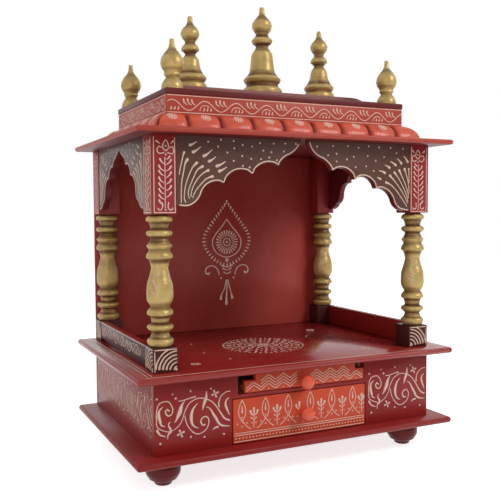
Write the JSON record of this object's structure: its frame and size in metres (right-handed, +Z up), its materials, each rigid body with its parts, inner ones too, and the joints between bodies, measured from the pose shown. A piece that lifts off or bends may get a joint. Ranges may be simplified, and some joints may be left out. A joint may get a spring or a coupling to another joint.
{
  "type": "home shrine",
  "caption": "Open-fronted wooden home shrine on turned feet: base box with a drawer and pull-out tray, pillared room with scalloped arches, stepped roof with turned finials.",
  "frame": {"origin": "on the floor, under the middle of the bounding box", "axes": "+Z up; the open front with the drawer faces -Y; +X is to the right of someone standing behind it looking out, which is the viewer's right when facing the front"},
  "size_m": [0.602, 0.418, 0.8175],
  "materials": {
    "maroon_wood": "satin enamel paint",
    "orange_wood": "satin enamel paint",
    "brown_wood": "satin enamel paint",
    "gold_wood": "antiqued metallic paint",
    "bare_wood": "unpainted, inside"
  },
  "bodies": {
    "shrine": {"feet": "maroon_wood", "base_plate": "maroon_wood", "base_front": "maroon_wood", "base_left": "maroon_wood", "base_right": "maroon_wood", "base_back": "maroon_wood", "drawer_guides": "bare_wood", "divider_shelf": "maroon_wood", "tray_guides": "bare_wood", "deck_board": "maroon_wood", "rail_left": "maroon_wood", "rail_right": "maroon_wood", "lower_blocks": "maroon_wood", "balusters": "gold_wood", "upper_blocks": "maroon_wood", "arch_front_left": "brown_wood", "arch_front_right": "brown_wood", "arch_left": "brown_wood", "arch_right": "brown_wood", "back_panel": "maroon_wood", "eave_board": "orange_wood", "moulding_front": "orange_wood", "moulding_rear": "orange_wood", "moulding_left": "orange_wood", "moulding_right": "orange_wood", "frieze_front": "orange_wood", "frieze_rear": "orange_wood", "frieze_sides": "orange_wood", "top_board": "maroon_wood", "roof_tier": "maroon_wood", "corner_finials": "gold_wood", "side_finials": "gold_wood", "centre_finial": "gold_wood"},
    "drawer": {"drawer_front": "orange_wood", "drawer_box": "bare_wood", "drawer_bottom": "bare_wood", "drawer_knob": "orange_wood"},
    "tray": {"tray_front": "orange_wood", "tray_board": "bare_wood", "tray_knob": "orange_wood"}
  },
  "joints": [
    {"name": "drawer_slide", "type": "slide", "parent": "shrine", "child": "drawer", "axis": [0, -1, 0], "range_m": [0, 0.22]},
    {"name": "tray_slide", "type": "slide", "parent": "shrine", "child": "tray", "axis": [0, -1, 0], "range_m": [0, 0.2]}
  ]
}
